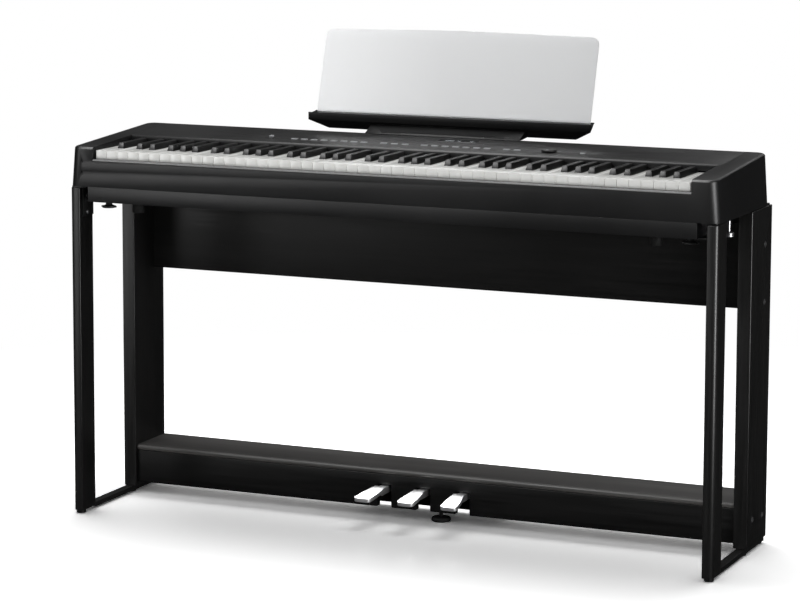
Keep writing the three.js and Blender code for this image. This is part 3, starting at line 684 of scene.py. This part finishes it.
def make_case_fasteners():
    """Rubber feet and screws under the case, and the screws that hold its rear cover."""
    foot_middle = TRAY_BOTTOM - FOOT_HEIGHT / 2
    feet = [(side * FOOT_X, depth, foot_middle) for side in (-1, 1) for depth in (42, 272)]
    repeated("case_feet", feet, 12, FOOT_HEIGHT, "z", RUBBER, FIXED, 1.5)
    across = [side * x for side in (-1, 1) for x in (90, 250, 420)]
    screws = [(x, depth, TRAY_BOTTOM - 0.3) for x in across for depth in (18, 215)]
    repeated("tray_screws", screws, 3.4, 1.2, "z", STEEL, FIXED, 0.4)
    backs = [(x, CASE_DEPTH - 0.4, 690) for x in (-560, -340, 110, 340, 560)]
    repeated("rear_screws", backs, 3.2, 0.7, "y", STEEL, FIXED, 0.3)


# ------------------------------------------------------------------ control panel
ROW = 206  # depth of the row of buttons
SCREEN = (8, 90), (262, 285)  # the display's X and depth
DIAL_X = 264


def on_panel(name, xs, depths, heights):
    """A block lying on the sloping panel; heights are above its surface."""
    corners = []
    for height in heights:
        for x, depth in ((xs[0], depths[0]), (xs[1], depths[0]), (xs[1], depths[1]), (xs[0], depths[1])):
            corners.append((x, depth, top_at(depth) + height))
    return stacked(name, [corners[:4], corners[4:]])


def make_controls():
    soften("control_panel", PANEL, 0.5 * MM, 2)
    groups = [group + "_buttons" for group in ("left", "middle", "right", "pair")]
    for node in (*groups, "power_button", "volume_slider"):
        soften(node, BUTTON, 0.5 * MM, 2)
    soften("data_dial", PANEL, 0.8 * MM, 3)
    spot = (DIAL_X, ROW - 9, top_at(ROW))
    dot = turned("dial_mark", spot, [(2.2, 5.4), (2.2, 5.8), (1.6, 6.0)], sides=20)
    shade(dot)
    add_piece("dial_mark", dot, BUTTON, "data_dial")
    xs, depths = [(low + 0.3, high - 0.3) for low, high in SCREEN]
    pane = bevelled(on_panel("display_pane", xs, depths, (-1.0, 0.15)), 0.15 * MM, 2)
    add_piece("display_pane", pane, PANE, FIXED, ["display_window"])
    rib = on_panel("panel_rib", (-177, 111), (249.2, 250.8), (-0.2, 0.7))
    add_piece("panel_rib", bevelled(rib, 0.4 * MM, 3), PANEL, FIXED)
    add_piece("display_digits", make_digits(), SEGMENT, FIXED)


# A figure's seven bars, each from one corner of a grid two squares high to another.
DIGIT_BARS = {
    "a": (0, 2, 1, 2),
    "b": (1, 1, 1, 2),
    "c": (1, 0, 1, 1),
    "d": (0, 0, 1, 0),
    "e": (0, 0, 0, 1),
    "f": (0, 1, 0, 2),
    "g": (0, 1, 1, 1),
}
DIGIT_SHAPES = {"0": "abcdef", "1": "bc", "2": "abged", "4": "fgbc"}
DIGIT_FRONT = 268.5


def make_digits():
    """Plain seven-bar figures: a tempo on the left of the display and a beat on the right."""
    bars = []
    width, height, thick = 5.0, 4.6, 1.1
    for figure, left in (("1", 18), ("2", 26), ("0", 34), ("4", 48), ("4", 74)):
        for bar in DIGIT_SHAPES[figure]:
            x0, y0, x1, y1 = DIGIT_BARS[bar]
            xs = (left + x0 * width - thick / 2, left + x1 * width + thick / 2)
            depths = (DIGIT_FRONT + y0 * height - thick / 2, DIGIT_FRONT + y1 * height + thick / 2)
            bars.append(on_panel("bar", xs, depths, (0.1, 0.25)))
    return together("display_digits", bars)


# ------------------------------------------------------------------ keys
def make_keys():
    for node in sorted(nodes):
        if "white_key" in node:
            soften(node, WHITE, 0.7 * MM, 3)
        elif "black_key" in node:
            soften(node, EBONY, 1.1 * MM, 3, 20.0)


# ------------------------------------------------------------------ music rest and pedals
def make_rest_panel():
    soften("music_rest_panel", ACRYLIC, 0.4 * MM, 2)


PEDAL_GROUP = bpy.data.collections.new("pedals")  # what the pedal lamp shines on


def make_pedals():
    for pedal in PEDALS:
        PEDAL_GROUP.objects.link(soften(pedal, PLATE, 3.4 * MM, 5))


# ------------------------------------------------------------------ stage and light
def make_stage():
    half = 40.0
    mesh = bpy.data.meshes.new("floor")
    corners = [(-half, -half, 0), (half, -half, 0), (half, half, 0), (-half, half, 0)]
    mesh.from_pydata(corners, [], [(0, 1, 2, 3)])
    floor = bpy.data.objects.new("floor", mesh)
    scene.collection.objects.link(floor)
    material, tree, shader = new_finish("floor_paint", (2.7, 2.7, 2.7), 0.2, specular=0.3)
    coordinates = tree.nodes.new("ShaderNodeTexCoord")
    distance = tree.nodes.new("ShaderNodeVectorMath")
    distance.operation = "LENGTH"
    tree.links.new(coordinates.outputs["Object"], distance.inputs[0])
    away = add_range(tree, distance.outputs["Value"], 0.0, 1.0, 1.1, 2.2)
    glow = tree.nodes.new("ShaderNodeEmission")
    glow.inputs["Strength"].default_value = 1.0
    mix = tree.nodes.new("ShaderNodeMixShader")
    tree.links.new(away, mix.inputs["Fac"])
    tree.links.new(shader.outputs["BSDF"], mix.inputs[1])
    tree.links.new(glow.outputs["Emission"], mix.inputs[2])
    tree.links.new(mix.outputs["Shader"], tree.nodes["Material Output"].inputs["Surface"])
    mesh.materials.append(material)
    floor.visible_glossy = False


def make_world():
    """White to the eye and behind the clear sheet, soft for the fill, nearly dark for reflections."""
    world = bpy.data.worlds.new("studio")
    scene.world = world
    world.use_nodes = True
    tree = world.node_tree
    white = tree.nodes["Background"]
    white.inputs["Color"].default_value = (1.0, 1.0, 1.0, 1.0)
    path = tree.nodes.new("ShaderNodeLightPath")
    dark = add_background(tree, 0.022)
    light = add_background(tree, 0.38)
    for ray, shown in (("Is Glossy Ray", dark), ("Is Transmission Ray", white), ("Is Camera Ray", white)):
        mix = tree.nodes.new("ShaderNodeMixShader")
        tree.links.new(path.outputs[ray], mix.inputs["Fac"])
        tree.links.new(light.outputs[0], mix.inputs[1])
        tree.links.new(shown.outputs[0], mix.inputs[2])
        light = mix
    tree.links.new(light.outputs[0], tree.nodes["World Output"].inputs["Surface"])


def add_background(tree, strength):
    background = tree.nodes.new("ShaderNodeBackground")
    background.inputs["Color"].default_value = (1.0, 1.0, 1.0, 1.0)
    background.inputs["Strength"].default_value = strength
    return background


def add_softbox(name, place, target, size, brightness):
    """A rectangular area light whose face has the given brightness."""
    data = bpy.data.lights.new(name, "AREA")
    data.shape = "RECTANGLE"
    data.size, data.size_y = size
    data.energy = brightness * math.pi * size[0] * size[1]
    light = bpy.data.objects.new(name, data)
    scene.collection.objects.link(light)
    light.location = place
    light.rotation_euler = (Vector(target) - Vector(place)).to_track_quat("-Z", "Y").to_euler()
    return light


def make_lights():
    """A broad lamp above lights everything, one lamp the pedals alone, and the others only make sheens."""
    add_softbox("overhead", (-0.3, 0.7, 3.2), (0.0, 0.0, 0.0), (3.2, 1.8), 3.4)
    reflectors = [
        add_softbox("overhead_sheen", (-0.4, -0.6, 3.0), (0.0, -0.2, 0.0), (3.6, 1.4), 8.0),
        add_softbox("right_sheen", (3.6, -1.5, 0.8), (0.66, -0.2, 0.5), (1.3, 2.4), 18.0),
        add_softbox("left_sheen", (-3.6, -4.2, 1.0), (-0.5, -0.2, 0.5), (1.4, 2.4), 4.0),
        add_softbox("back_sheen", (1.0, 4.5, 2.6), (0.3, 0.0, 0.7), (3.0, 0.8), 1.6),
        add_softbox("front_sheen", (-1.6, -3.4, 3.4), (0.0, -0.2, 0.7), (3.0, 1.0), 26.0),
    ]
    pedal_sheen = add_softbox("pedal_sheen", (-1.0, 2.2, 2.3), (0.0, 0.0, 0.06), (3.0, 1.8), 7.0)
    pedal_sheen.light_linking.receiver_collection = PEDAL_GROUP
    for reflector in reflectors:
        reflector.visible_diffuse = False
        reflector.visible_transmission = False


scene.view_settings.view_transform = "Standard"
make_stand()
make_stand_screws()
make_case()
make_controls()
make_keys()
make_rest_panel()
make_pedals()
make_stage()
make_world()
make_lights()

for draft in [mesh for mesh in bpy.data.meshes if mesh.users == 0]:
    bpy.data.meshes.remove(draft)
